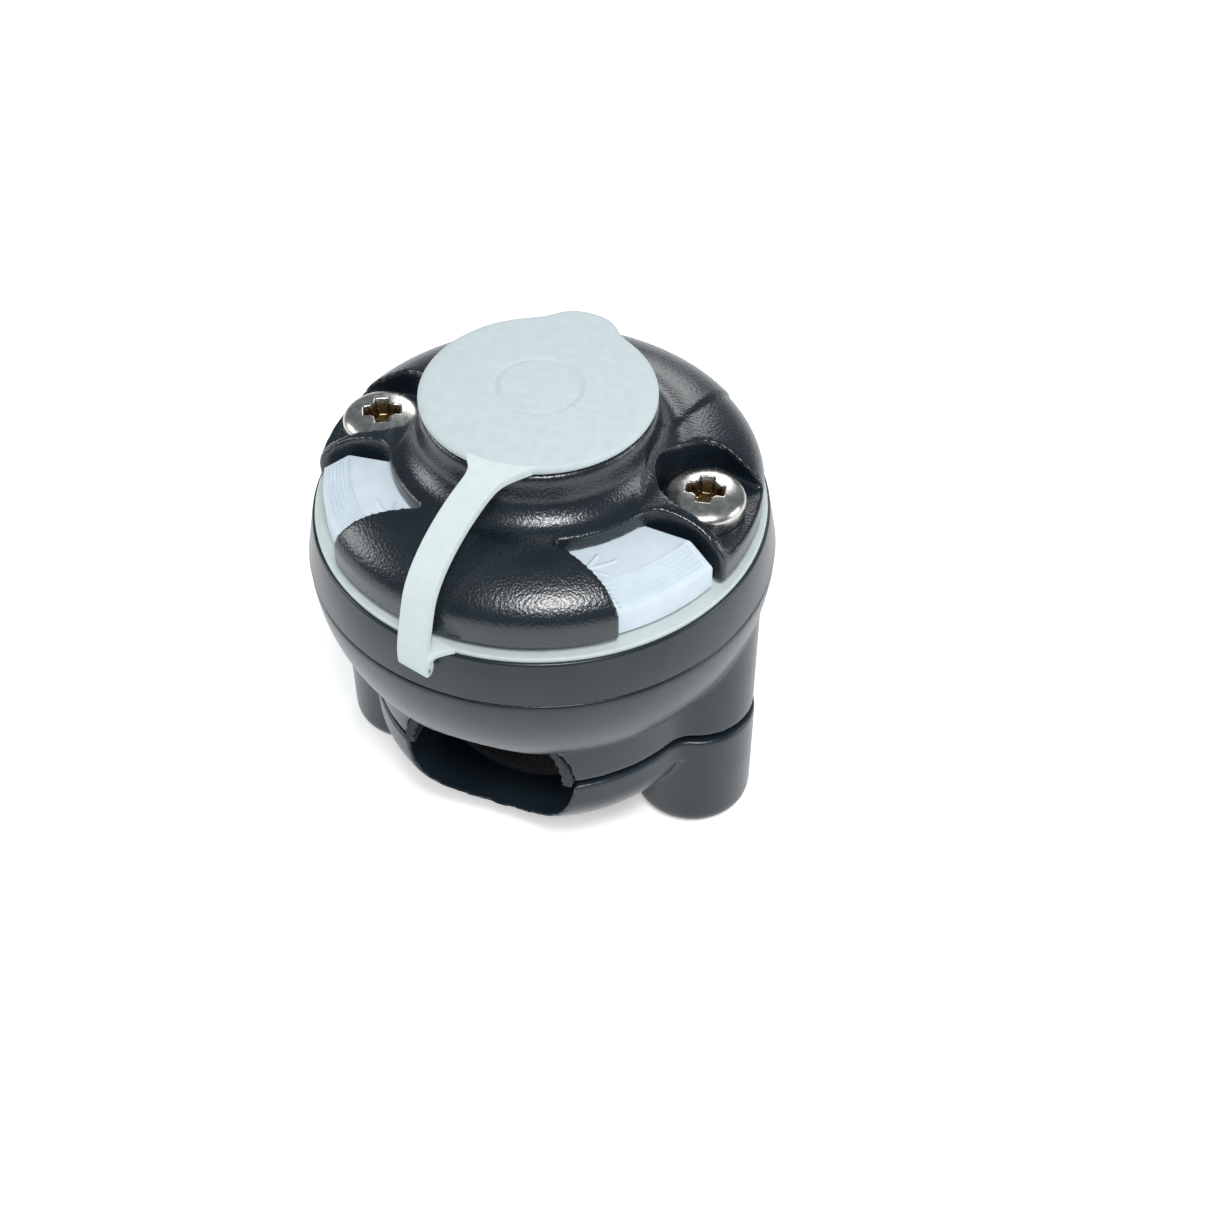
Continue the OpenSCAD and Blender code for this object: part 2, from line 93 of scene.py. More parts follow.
class Wire:
    """One socket of a material, so that shader maths reads as plain expressions."""

    def __init__(self, tree, socket):
        self.tree = tree
        self.socket = socket

    def node(self, kind, settings=None, inputs=None, out=0):
        new = self.tree.nodes.new(kind)
        for name, value in (settings or {}).items():
            if name == "stops":
                while len(new.color_ramp.elements) < len(value):
                    new.color_ramp.elements.new(1)
                for element, (place, colour) in zip(new.color_ramp.elements, value):
                    element.position = place
                    element.color = (*colour, 1)
            else:
                setattr(new, name, value)
        for name, value in (inputs or {}).items():
            if isinstance(value, Wire):
                self.tree.links.new(value.socket, new.inputs[name])
            else:
                new.inputs[name].default_value = value
        return Wire(self.tree, new.outputs[out])

    def maths(self, operation, first, second=0.0, third=0.0):
        inputs = {0: first, 1: second, 2: third}
        return self.node("ShaderNodeMath", {"operation": operation}, inputs)

    def __add__(self, other):
        return self.maths("ADD", self, other)

    __radd__ = __add__

    def __sub__(self, other):
        return self.maths("SUBTRACT", self, other)

    def __rsub__(self, other):
        return self.maths("SUBTRACT", other, self)

    def __mul__(self, other):
        return self.maths("MULTIPLY", self, other)

    __rmul__ = __mul__

    def noise(self, size, detail=2.0, roughness=0.5):
        """Soft noise whose lumps are about size millimetres across."""
        return self.node("ShaderNodeTexNoise", None, {"Vector": self, "Scale": 1 / (size * MM),
                                                      "Detail": detail, "Roughness": roughness})

    def between(self, low, high):
        """0 at low, 1 at high, smooth between them."""
        return self.node("ShaderNodeMapRange", {"interpolation_type": "SMOOTHSTEP"},
                         {"Value": self, "From Min": low, "From Max": high})

    def mix(self, first, second):
        """A colour that runs from first to second as this wire runs from 0 to 1."""
        return self.node("ShaderNodeMix", {"data_type": "RGBA"},
                         {0: self, 6: first, 7: second}, out=2)

    def bump(self, height, strength, other=None):
        """A normal from this wire as a height in millimetres."""
        inputs = {"Height": self, "Distance": height * MM, "Strength": strength}
        if other:
            inputs["Normal"] = other
        return self.node("ShaderNodeBump", None, inputs)


def new_material(name):
    """A material with its shader, and a wire that carries the piece's own coordinates."""
    material = bpy.data.materials.new(name)
    material.use_nodes = True
    tree = material.node_tree
    shader = tree.nodes["Principled BSDF"]
    place = Wire(tree, tree.nodes.new("ShaderNodeTexCoord").outputs["Object"])
    return material, shader, place


def feed(shader, **sockets):
    """Sets or links the shader's sockets by name, with underscores for spaces."""
    for name, value in sockets.items():
        socket = shader.inputs[name.replace("_", " ")]
        if isinstance(value, Wire):
            value.tree.links.new(value.socket, socket)
        else:
            socket.default_value = value


def activate(piece):
    """Makes piece the only selected object, in object mode."""
    if bpy.context.object and bpy.context.object.mode != "OBJECT":
        bpy.ops.object.mode_set(mode="OBJECT")
    bpy.ops.object.select_all(action="DESELECT")
    piece.select_set(True)
    bpy.context.view_layer.objects.active = piece


floor_z = cad_low.z - 0.05 * MM
floor_size = 4
bpy.ops.object.select_all(action="DESELECT")
bpy.ops.mesh.primitive_plane_add(size=floor_size, location=(0, 0, floor_z))
floor = bpy.context.object
floor.name = "floor"
floor_paint, floor_shader, floor_place = new_material("floor_paint")
# The floor glows a little for camera, glossy and transmission rays, so that it reads as white
# paper and still keeps the shadow.
camera_ray = floor_place.node("ShaderNodeLightPath")
glossy_ray = floor_place.node("ShaderNodeLightPath", out=3)
clear_ray = floor_place.node("ShaderNodeLightPath", out=6)
rays = camera_ray + glossy_ray + clear_ray
paper = rays.maths("MINIMUM", rays, 1.0)
feed(floor_shader, Base_Color=(0.93, 0.95, 0.96, 1), Roughness=0.7, Specular_IOR_Level=0.0,
     Emission_Color=paper.mix((0, 0, 0, 1), (0.42, 0.41, 0.40, 1)), Emission_Strength=1.0)
floor.data.materials.append(floor_paint)

world = bpy.data.worlds.new("studio")
bpy.context.scene.world = world
world.use_nodes = True
sky = world.node_tree.nodes["Background"]
sky.inputs["Color"].default_value = (0.80, 0.92, 1.0, 1)
sky.inputs["Strength"].default_value = 0.24


def lamp(name, place, size, power):
    """A soft square lamp that faces the object."""
    light = bpy.data.lights.new(name, "AREA")
    light.size = size
    light.energy = power
    holder = bpy.data.objects.new(name, light)
    bpy.context.collection.objects.link(holder)
    holder.location = place
    holder.rotation_euler = (aim - holder.location).to_track_quat("-Z", "Y").to_euler()


lamp("key_lamp", (0.19, -0.33, 0.62), 0.24, 2.7)
lamp("spark_lamp", (0.17, -0.32, 0.60), 0.08, 1.0)
lamp("left_lamp", (-0.60, -0.10, 0.30), 0.26, 1.2)
lamp("right_lamp", (0.55, 0.15, 0.25), 0.26, 1.0)
lamp("back_lamp", (-0.10, 0.60, 0.35), 0.30, 1.0)

# ---------------------------------------------------------------------------------------------
# Upper clamp
# The top half of the rail clamp, moulded in black glass-filled nylon: a bowl under the base
# ring, a round wall with the rail's mouth through it, and a lobe round each bolt.
# ---------------------------------------------------------------------------------------------
ROUND_STEPS = 256

base_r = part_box("base_ring")[1].x / MM
seam_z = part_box("base_ring")[0].z / MM
ring_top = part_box("base_ring")[1].z / MM
bolt_x = (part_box("bolt_right")[0].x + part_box("bolt_right")[1].x) / 2 / MM
split_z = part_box("upper_clamp")[0].z / MM
mouth_r = base_r - 8
crease_z = 9
bore_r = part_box("upper_liner")[1].x / MM
hollow_r = 14
bolt_hole_r = 3.3
lobe_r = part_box("lower_clamp")[1].x / MM - bolt_x
web_r = 5
past = 5
rail_past = 60
rail_steps, hole_steps = 128, 48


def curve(a, b, c, d, steps=10):
    """Points of a cubic curve from a to d, pulled towards b and c."""
    points = []
    for i in range(steps + 1):
        t = i / steps
        s = 1 - t
        weights = (s ** 3, 3 * s * s * t, 3 * s * t * t, t ** 3)
        points.append(tuple(sum(w * p[k] for w, p in zip(weights, (a, b, c, d))) for k in (0, 1)))
    return points


def arc(centre, radius, start, end, steps=8):
    """Points of an arc, with its angles in degrees."""
    turns = [radians(start + (end - start) * i / steps) for i in range(steps + 1)]
    return [(centre[0] + radius * cos(t), centre[1] + radius * sin(t)) for t in turns]


def outline(name, points, filled=True):
    """A closed outline drawn point by point and left in edit mode; points are in millimetres."""
    bpy.ops.object.select_all(action="DESELECT")
    bpy.ops.mesh.primitive_plane_add(size=MM)
    piece = bpy.context.object
    piece.name = name
    bpy.ops.object.mode_set(mode="EDIT")
    bpy.ops.mesh.merge(type="CENTER")
    at_point = Vector((0, 0, 0))
    for i, point in enumerate(points):
        step = {"value": (Vector(point) - at_point) * MM}
        if i:
            bpy.ops.mesh.extrude_region_move(TRANSFORM_OT_translate=step)
        else:
            bpy.ops.transform.translate(**step)
        at_point = Vector(point)
    bpy.ops.mesh.select_all(action="SELECT")
    bpy.ops.mesh.edge_face_add()
    if not filled:
        bpy.ops.mesh.delete(type="ONLY_FACE")
    bpy.ops.mesh.select_all(action="SELECT")
    return piece


def spun(name, profile, steps=ROUND_STEPS):
    """A closed profile of (radius, height) points turned round the Z axis."""
    piece = outline(name, [(r, 0, z) for r, z in profile], filled=False)
    bpy.ops.mesh.spin(steps=steps, angle=2 * pi, center=(0, 0, 0), axis=(0, 0, 1))
    bpy.ops.mesh.select_all(action="SELECT")
    bpy.ops.mesh.remove_doubles(threshold=0.002 * MM)
    bpy.ops.mesh.delete_loose()
    bpy.ops.mesh.select_all(action="SELECT")
    bpy.ops.mesh.normals_make_consistent(inside=False)
    bpy.ops.object.mode_set(mode="OBJECT")
    return piece


def prism(name, plan, low, high):
    """A plan outline raised from low to high."""
    piece = outline(name, [(x, y, low) for x, y in plan])
    bpy.ops.mesh.extrude_region_move(TRANSFORM_OT_translate={"value": (0, 0, (high - low) * MM)})
    bpy.ops.mesh.select_all(action="SELECT")
    bpy.ops.mesh.normals_make_consistent(inside=False)
    bpy.ops.object.mode_set(mode="OBJECT")
    return piece


def rod(name, radius, low, high, place=(0, 0), along="Z", steps=96):
    """A plain cylinder from low to high along an axis."""
    bpy.ops.object.select_all(action="DESELECT")
    centre = (low + high) / 2
    spot = (place[0], place[1], centre) if along == "Z" else (place[0], centre, place[1])
    turn = (0, 0, 0) if along == "Z" else (pi / 2, 0, 0)
    bpy.ops.mesh.primitive_cylinder_add(vertices=steps, radius=radius * MM, depth=(high - low) * MM,
                                        location=[c * MM for c in spot], rotation=turn)
    bpy.ops.object.transform_apply(location=True, rotation=True, scale=True)
    bpy.context.object.name = name
    return bpy.context.object


def copied(piece, name):
    """A copy of piece with its own mesh."""
    twin = piece.copy()
    twin.data = piece.data.copy()
    twin.name = name
    bpy.context.collection.objects.link(twin)
    return twin


def combine(piece, tools, operation):
    """Cuts the tools out of piece, or joins them on, in one step, and removes them."""
    group = bpy.data.collections.new("tools")
    for tool in tools:
        group.objects.link(tool)
    activate(piece)
    step = piece.modifiers.new("combine", "BOOLEAN")
    step.operation = operation
    step.solver = "EXACT"
    step.operand_type = "COLLECTION"
    step.collection = group
    bpy.ops.object.modifier_apply(modifier=step.name)
    for tool in tools:
        bpy.data.objects.remove(tool)
    bpy.data.collections.remove(group)


def cut(piece, *tools):
    combine(piece, tools, "DIFFERENCE")


def join(piece, *tools):
    combine(piece, tools, "UNION")


def moulded(piece, voxel, rounds):
    """Skins the piece over as one moulding, with soft edges and hollow corners."""
    activate(piece)
    skin = piece.modifiers.new("skin", "REMESH")
    skin.mode = "VOXEL"
    skin.voxel_size = voxel * MM
    bpy.ops.object.modifier_apply(modifier=skin.name)
    ease = piece.modifiers.new("ease", "SMOOTH")
    ease.factor = 0.5
    ease.iterations = rounds
    bpy.ops.object.modifier_apply(modifier=ease.name)
    bpy.ops.object.shade_smooth()


def clamp_plan(wall_r, bolt_wall_r):
    """Plan of a clamp half: the round wall, a lobe round each bolt, hollow webs between them."""
    a = wall_r + web_r
    b = bolt_wall_r + web_r
    turn = degrees(acos((a * a + bolt_x * bolt_x - b * b) / (2 * a * bolt_x)))
    centre = (a * cos(radians(turn)), a * sin(radians(turn)))
    end = 360 + degrees(atan2(-centre[1], bolt_x - centre[0]))
    quarter = arc((0, 0), wall_r, 90, turn, 20)
    quarter += arc(centre, web_r, turn + 180, end, 10)[1:]
    quarter += arc((bolt_x, 0), bolt_wall_r, end - 180, 0, 20)[1:]
    right = quarter + [(x, -y) for x, y in reversed(quarter[:-1])]
    return right + [(-x, y) for x, y in reversed(right[1:-1])]


bowl_top = seam_z - 0.1
wall_top = seam_z - 6
upper_lobe_r = lobe_r - 0.3
hollow_floor = bore_r + 4
upper_skin, skin_rounds = 0.40, 16

bowl = curve((mouth_r, crease_z), (mouth_r + 3, crease_z + 1.2), (base_r - 0.3, seam_z - 10),
             (base_r, bowl_top), 20)
upper = spun("upper_clamp_moulding", [(0, crease_z)] + bowl + [(0, bowl_top)])
join(upper, prism("wall", clamp_plan(mouth_r, upper_lobe_r), split_z, wall_top))
cut(upper, rod("rail_way", bore_r, -rail_past, rail_past, along="Y", steps=rail_steps),
    rod("hollow", hollow_r, hollow_floor, seam_z + past),
    *[rod("hole", bolt_hole_r, -past, seam_z + past, (side * bolt_x, 0), steps=hole_steps)
      for side in (-1, 1)])
moulded(upper, upper_skin, skin_rounds)

smooth_nylon, shader, place = new_material("smooth_black_nylon")
cloud = place.noise(9, 2)
fine = place.noise(0.35, 3, 0.6)
shade = cloud.between(0.3, 0.7).mix((0.007, 0.014, 0.021, 1), (0.012, 0.021, 0.029, 1))
feed(shader, Base_Color=shade, Roughness=0.24 + fine * 0.14, Normal=fine.bump(0.012, 0.35),
     Specular_IOR_Level=0.48)
upper.data.materials.append(smooth_nylon)
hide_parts("upper_clamp")
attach(upper, "root")

# ---------------------------------------------------------------------------------------------
# Lower clamp
# The bottom half, in the same nylon: a thin saddle under the rail between deep lobes, which
# hold the nuts in hexagon pockets. It drops away from the upper half when the bolts are slack.
# ---------------------------------------------------------------------------------------------
lower_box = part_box("lower_clamp")
lower_top = lower_box[1].z / MM
lobe_foot = lower_box[0].z / MM
saddle_z = bore_r + 2.8
saddle_r = base_r - 21
wall_drop = 4.5
lobe_round = 3
nut_af = 10
nut_play = 0.15
hex_r = (nut_af / 2 + nut_play) / cos(pi / 6)
pocket_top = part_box("nut_right")[1].z / MM
lower_skin = 0.34

saddle = curve((saddle_r, -saddle_z), (saddle_r + 5, -saddle_z + 0.5), (mouth_r, -10),
               (mouth_r, -wall_drop), 20)
lower = spun("lower_clamp_moulding", [(0, -saddle_z)] + saddle + [(0, -wall_drop)])
join(lower, prism("wall", clamp_plan(mouth_r + 0.02, lobe_r - 0.1), -wall_drop - 0.3, lower_top))
lobes, ways = [], []
for side in (-1, 1):
    lobe = spun("lobe", [(0, lobe_foot)] + arc(
        (lobe_r - lobe_round, lobe_foot + lobe_round), lobe_round, -90, 0, 10)
        + [(lobe_r, lower_top - 0.2), (0, lower_top - 0.2)], 96)
    lobe.data.transform(Matrix.Translation((side * bolt_x * MM, 0, 0)))
    lobes.append(lobe)
    axis = (side * bolt_x, 0)
    ways.append(rod("hole", bolt_hole_r, lobe_foot - past, past, axis, steps=hole_steps))
    ways.append(rod("hex", hex_r, lobe_foot - past - 1, pocket_top, axis, steps=6))
join(lower, *lobes)
cut(lower, rod("rail_way", bore_r, -rail_past, rail_past, along="Y", steps=rail_steps), *ways)
moulded(lower, lower_skin, skin_rounds)
lower.data.materials.append(smooth_nylon)
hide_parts("lower_clamp")
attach(lower, "lower_half")

# ---------------------------------------------------------------------------------------------
# Rail liners
# Thin black rubber half-tubes inside the clamp, ribbed along the rail so that they grip it.
# ---------------------------------------------------------------------------------------------
liner_ribs = 22
liner_rib_depth = 0.25
liner_wall = 1.5
end_gap = 0.5

liner_rubber, shader, place = new_material("liner_rubber")
fine = place.noise(0.5, 3, 0.6)
shade = fine.between(0.3, 0.7).mix((0.020, 0.022, 0.025, 1), (0.035, 0.038, 0.042, 1))
feed(shader, Base_Color=shade, Roughness=0.75, Normal=fine.bump(0.03, 0.4))


def liner(name, node, body, start):
    """A half-tube with shallow ribs inside, from start degrees over half a turn."""
    low, high = (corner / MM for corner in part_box(node))
    inner = bore_r - liner_wall
    gap_turn = degrees(end_gap / bore_r)
    points = arc((0, 0), bore_r, start + gap_turn, start + 180 - gap_turn, 64)
    ribs = liner_ribs * 4
    for i in range(ribs + 1):
        turn = start + 180 - gap_turn - 0.2 - (179.6 - 2 * gap_turn) * i / ribs
        radius = inner + (liner_rib_depth if i % 4 in (0, 3) and 0 < i < ribs else 0)
        points += [(radius * cos(radians(turn)), radius * sin(radians(turn)))]
    piece = outline(name, [(x, low.y, z) for x, z in points])
    along = (0, (high.y - low.y) * MM, 0)
    bpy.ops.mesh.extrude_region_move(TRANSFORM_OT_translate={"value": along})
    bpy.ops.mesh.select_all(action="SELECT")
    bpy.ops.mesh.normals_make_consistent(inside=False)
    bpy.ops.object.mode_set(mode="OBJECT")
    bpy.ops.object.shade_smooth_by_angle(angle=radians(25))
    piece.data.materials.append(liner_rubber)
    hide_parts(node)
    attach(piece, body)


liner("upper_rail_liner", "upper_liner", "root", 0)
liner("lower_rail_liner", "lower_liner", "lower_half", 180)

# ---------------------------------------------------------------------------------------------
# Base ring
# A black nylon ring between the clamp and the dome, with a glossy rounded lip round the gasket.
# ---------------------------------------------------------------------------------------------
lip_r = base_r - 1.2
lip_round = 0.6
gasket_low, gasket_high = (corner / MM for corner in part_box("gasket_ring"))
gasket_out = gasket_high.x
gasket_in = base_r - 6
screw_turns = (-90, 48, 132)
screw_r = 22

seam_round = 0.35
recess_r, recess_floor = 2.9, seam_z + 3
ring = spun("base_ring_moulding", [(hollow_r, seam_z)]
            + arc((base_r - seam_round, seam_z + seam_round), seam_round, -90, 0, 4)
            + arc((lip_r - lip_round, ring_top - lip_round), lip_round, 8, 90, 8)
            + arc((gasket_out + 0.3, ring_top - 0.25), 0.25, 90, 180, 4)
            + [(gasket_out + 0.05, gasket_low.z), (gasket_in - 0.05, gasket_low.z),
               (gasket_in - 0.05, ring_top), (hollow_r, ring_top)])
screw_places = [(screw_r * cos(radians(turn)), screw_r * sin(radians(turn))) for turn in screw_turns]
cut(ring, *[rod("hole", bolt_hole_r, seam_z - past, ring_top + past, (side * bolt_x, 0), steps=hole_steps)
            for side in (-1, 1)],
    *[rod("recess", recess_r, recess_floor, ring_top + past, spot, steps=32) for spot in screw_places])
activate(ring)
bpy.ops.object.shade_smooth_by_angle(angle=radians(35))
ring.data.materials.append(smooth_nylon)
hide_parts("base_ring")
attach(ring, "root")

# ---------------------------------------------------------------------------------------------
# Gasket ring
# The light grey rubber band under the dome, one moulding with the tether and the cap. A bead
# stands on it and seals against the dome's foot.
# ---------------------------------------------------------------------------------------------
band_top = gasket_low.z + 1.5
dome_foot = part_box("socket_dome")[0].z / MM

gasket = spun("gasket_band", [(gasket_in, gasket_low.z), (gasket_out - 0.1, gasket_low.z)]
              + arc((gasket_out - 0.35, band_top - 0.35), 0.35, 0, 90, 6)
              + arc((gasket_in + 1.7, band_top + 0.3), 0.3, 270, 180, 4)
              + [(gasket_in + 1.4, dome_foot - 0.02), (gasket_in + 0.2, dome_foot - 0.02),
                 (gasket_in + 0.2, band_top), (gasket_in, band_top)])
activate(gasket)
bpy.ops.object.shade_smooth_by_angle(angle=radians(40))


def rubber(name, dark, pale):
    """Soft matt rubber with faint mottling and a fine skin."""
    material, shader, place = new_material(name)
    mottle = place.noise(1.7, 5, 0.62).between(0.32, 0.68)
    speck = place.noise(0.4, 2, 0.5)
    pores = speck.between(0.66, 0.74)
    feed(shader, Base_Color=(mottle * 0.85 + speck * 0.15 - pores * 0.25).mix(dark, pale),
         Roughness=0.60 + mottle * 0.1, Normal=speck.bump(0.02, 0.35), Sheen_Weight=0.05)
    return material


band_rubber = rubber("gasket_rubber", (0.55, 0.62, 0.61, 1), (0.60, 0.66, 0.65, 1))
gasket.data.materials.append(band_rubber)
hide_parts("gasket_ring")
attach(gasket, "root")

# ---------------------------------------------------------------------------------------------
# Socket dome
# The black housing, moulded with a fine spark-eroded grain: a collar round the socket, a hollow
# valley, a shoulder and a skirt, with a pocket for each bolt and an opening for each slider.
# ---------------------------------------------------------------------------------------------
skirt_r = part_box("socket_dome")[1].x / MM
collar_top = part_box("socket_dome")[1].z / MM
socket_r = 14
collar_r = socket_r + 4.3
valley_r = collar_r + 4.2
barrel_r = socket_r + 3
lead_r = 14.8
seat_z = dome_foot + 4.5
slot_in_r = base_r - 13.9
slot_rear, slot_front_in, slot_front_out = 17, 63.5, 49.3
pocket_x, pocket_front, pocket_back, pocket_skew = 7.45, 6.5, 9.2, 3.5
slot_square = pocket_front + 1.9
slider_out = skirt_r - 1.3
slider_mid = skirt_r - 5.5
slider_top_in = dome_foot + 7.9
slider_top_mid = dome_foot + 7.2
slider_edge = dome_foot + 4.4
tongue_out = skirt_r - 3.1
slider_travel = 8


def at(radius, turn):
    """A plan point at a radius and a turn in degrees forward of the right-hand bolt."""
    return radius * cos(radians(turn)), -radius * sin(radians(turn))


def sector(name, profile, start, end, steps=24):
    """A closed profile turned about Z from start to end, in degrees forward of the bolt."""
    piece = outline(name, [(*at(r, start), z) for r, z in profile])
    bpy.ops.mesh.spin(steps=steps, angle=radians(end - start), center=(0, 0, 0), axis=(0, 0, 1))
    bpy.ops.mesh.select_all(action="SELECT")
    bpy.ops.mesh.normals_make_consistent(inside=False)
    bpy.ops.object.mode_set(mode="OBJECT")
    return piece


def mirrored(piece, side):
    """Flips a right-hand tool to the left when side is -1."""
    if side < 0:
        piece.data.transform(Matrix.Scale(-1, 4, (1, 0, 0)))
        piece.data.flip_normals()
    return piece


collar_foot = (collar_r, dome_foot + 13.5)
valley = (valley_r, dome_foot + 10.8)
shoulder = (skirt_r - 5.3, dome_foot + 9.2)
skirt = (skirt_r, dome_foot + 3.6)
collar_edge = (collar_r - 1.4, collar_top)


def near(point, out, up):
    """A point moved outwards and upwards, to pull a curve."""
    return point[0] + out, point[1] + up


dome_side = curve(skirt, near(skirt, 0, 2.6), near(shoulder, 2.6, -1.2), shoulder, 16)
dome_side += curve(shoulder, near(shoulder, -2.4, 1.1), near(valley, 1.6, 0.1), valley, 12)[1:]
dome_side += curve(valley, near(valley, -2, -0.1), near(collar_foot, 1, -1.6), collar_foot, 12)[1:]
dome_side += curve(collar_foot, near(collar_foot, -0.7, 1.4), near(collar_edge, 1.5, 0), collar_edge, 10)[1:]
foot_bevel = 0.9
dome = spun("dome_moulding", [(0, dome_foot), (skirt_r - foot_bevel, dome_foot),
                              (skirt_r, dome_foot + foot_bevel)] + dome_side + [(0, collar_top)])

# The panel round each bolt lies a little lower than the rest of the dome.
panel_step = 0.35
panel = [at(slot_in_r - 0.6, 29)] + curve(at(21.0, 25), at(18.6, 14), at(17.9, 6), at(17.7, -12), 14)
panel += curve(at(17.9, -17), at(19.2, -27), at(24.5, -36), at(skirt_r + 2, -52), 20)
panel += [at(skirt_r + 6, -20), at(skirt_r + 6, 20)]
lowered = spun("lowered", [(0, dome_foot - 2), (skirt_r - panel_step, dome_foot - 2)]
               + [(r - panel_step * 0.6, z - panel_step * 0.8) for r, z in dome_side]
               + [(0, collar_top - 0.5)])
patch = prism("patch", panel, dome_foot - 1, collar_top - 2)
cut(patch, lowered)
tools = [patch, mirrored(copied(patch, "left_patch"), -1),
         rod("socket", socket_r, dome_foot - 1, collar_top + 1, steps=128),
         rod("lead_in", lead_r, collar_top - 5, collar_top + 1.5, steps=128)]
keyways = 6
keyway_size = Vector((2.2, 2.4, 11)) * MM
keyway_r, keyway_z = 14.1 * MM, (collar_top - 4.5) * MM
for i in range(keyways):
    bpy.ops.object.select_all(action="DESELECT")
    turn = radians(90 + i * 360 / keyways)
    spot = (keyway_r * cos(turn), keyway_r * sin(turn), keyway_z)
    bpy.ops.mesh.primitive_cube_add(size=1, location=spot, rotation=(0, 0, turn))
    key = bpy.context.object
    key.scale = keyway_size
    tools.append(key)

far = base_r + 5
corner = degrees(asin(slot_square / slot_in_r)) + 4
bend = slot_square / sin(radians(slot_rear))
opening = [at(slot_in_r, corner + (slot_front_in - corner) * i / 24) for i in range(25)]
opening += curve(at(slot_in_r, slot_front_in), at(slot_in_r + 1.9, slot_front_in - 3.5),
                 at(skirt_r - 5.3, slot_front_out + 1.2), at(skirt_r, slot_front_out), 16)[1:]
opening += [at(far, slot_front_out), at(far + 3, slot_rear + 12), at(far, slot_rear)]
opening += curve(at(bend + 1.5, slot_rear), at(bend + 0.5, slot_rear), (bend - 2, -slot_square),
                 (bend - 3, -slot_square))
opening += curve((slot_in_r + 1, -slot_square), (slot_in_r - 0.5, -slot_square),
                 at(slot_in_r, corner - 2), at(slot_in_r, corner))[:-1]
pocket_out = bolt_x + 12.3
pocket = [(pocket_out, -pocket_front - pocket_skew)]
for reach_y, turns in ((pocket_front, range(270, 180, -5)), (pocket_back, range(180, 89, -5))):
    pocket += [(bolt_x + pocket_x * cos(radians(t)), reach_y * sin(radians(t))) for t in turns]
pocket += [(pocket_out, pocket_back - pocket_skew)]


def grip_top(radius):
    """Height of a slider's sloping grip."""
    slope = (slider_top_mid - slider_edge) / (slider_out - slider_mid)
    return slider_edge + (slider_out - radius) * slope


head = 0.5
room = [(barrel_r, dome_foot - 1), (tongue_out + 0.3, dome_foot - 1),
        (tongue_out + 0.3, grip_top(tongue_out) + head),
        (slider_mid, slider_top_mid + head), (slot_in_r + 0.8, slider_top_in + head),
        (barrel_r, slider_top_in + head - 2)]
edge_room = [(tongue_out - 1, dome_foot - 2), (slider_out + 0.3, dome_foot - 2),
             (slider_out + 0.3, slider_edge + head), (tongue_out - 1, grip_top(tongue_out - 1) + head)]
window_low, window_high = dome_foot + 3.7, dome_foot + 6.5
window = [(socket_r - 1, window_low), (barrel_r + 1, window_low), (barrel_r + 1, window_high),
          (socket_r - 1, window_high)]
hand_tools = [prism("opening", opening, dome_foot - 1.2, collar_top + 1.2),
              prism("pocket", pocket, seat_z, collar_top + 1.4),
              rod("hole", bolt_hole_r, dome_foot - 1.4, seat_z + 1, (bolt_x, 0), steps=48),
              sector("room", room, corner + 2, 86.5),
              sector("edge_room", edge_room, slot_rear + 6, slot_front_out + slider_travel + 1),
              sector("window", window, 35, 56)]
tools += hand_tools + [mirrored(copied(tool, "left_" + tool.name), -1) for tool in hand_tools]
cut(dome, *tools)
dome_skin, dome_rounds = 0.38, 4
moulded(dome, dome_skin, dome_rounds)

grained_nylon, shader, place = new_material("grained_black_nylon")
grain = place.node("ShaderNodeTexVoronoi", {"feature": "SMOOTH_F1"},
                   {"Vector": place, "Scale": 1 / (0.42 * MM), "Smoothness": 0.6})
pebble = place.noise(0.22, 2, 0.5)
cloud = place.noise(7, 2).between(0.3, 0.7)
feed(shader, Base_Color=cloud.mix((0.004, 0.009, 0.014, 1), (0.008, 0.015, 0.021, 1)),
     Roughness=0.20 + pebble * 0.12, Normal=(grain * 0.7 + pebble * 0.5).bump(0.07, 0.75),
     Specular_IOR_Level=0.7)
dome.data.materials.append(grained_nylon)
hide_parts("socket_dome")
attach(dome, "root")

# ---------------------------------------------------------------------------------------------
# Cap
# A light grey rubber cap with a softly crowned top, a pull tab at the back, a plain ring pressed
# into it, and a hollow plug underneath that fits the socket's mouth.
# ---------------------------------------------------------------------------------------------
cap_low, cap_high = (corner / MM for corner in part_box("cap"))
cap_r = cap_high.x
cap_z = collar_top + 0.3
cap_t = 1.5
crown = 0.7
plug_r = lead_r - 0.3
mark_r, mark_w, mark_depth = 6.3, 0.45, 0.28
tab_reach, tab_turn, tab_spread = cap_high.y - cap_r, 88, 17


def cap_top(radius):
    """Height of the cap's crowned top, with the pressed ring."""
    mark = exp(-((radius - mark_r) / mark_w) ** 4)
    return cap_z + cap_t + crown * (1 - (radius / cap_r) ** 2) - mark_depth * mark


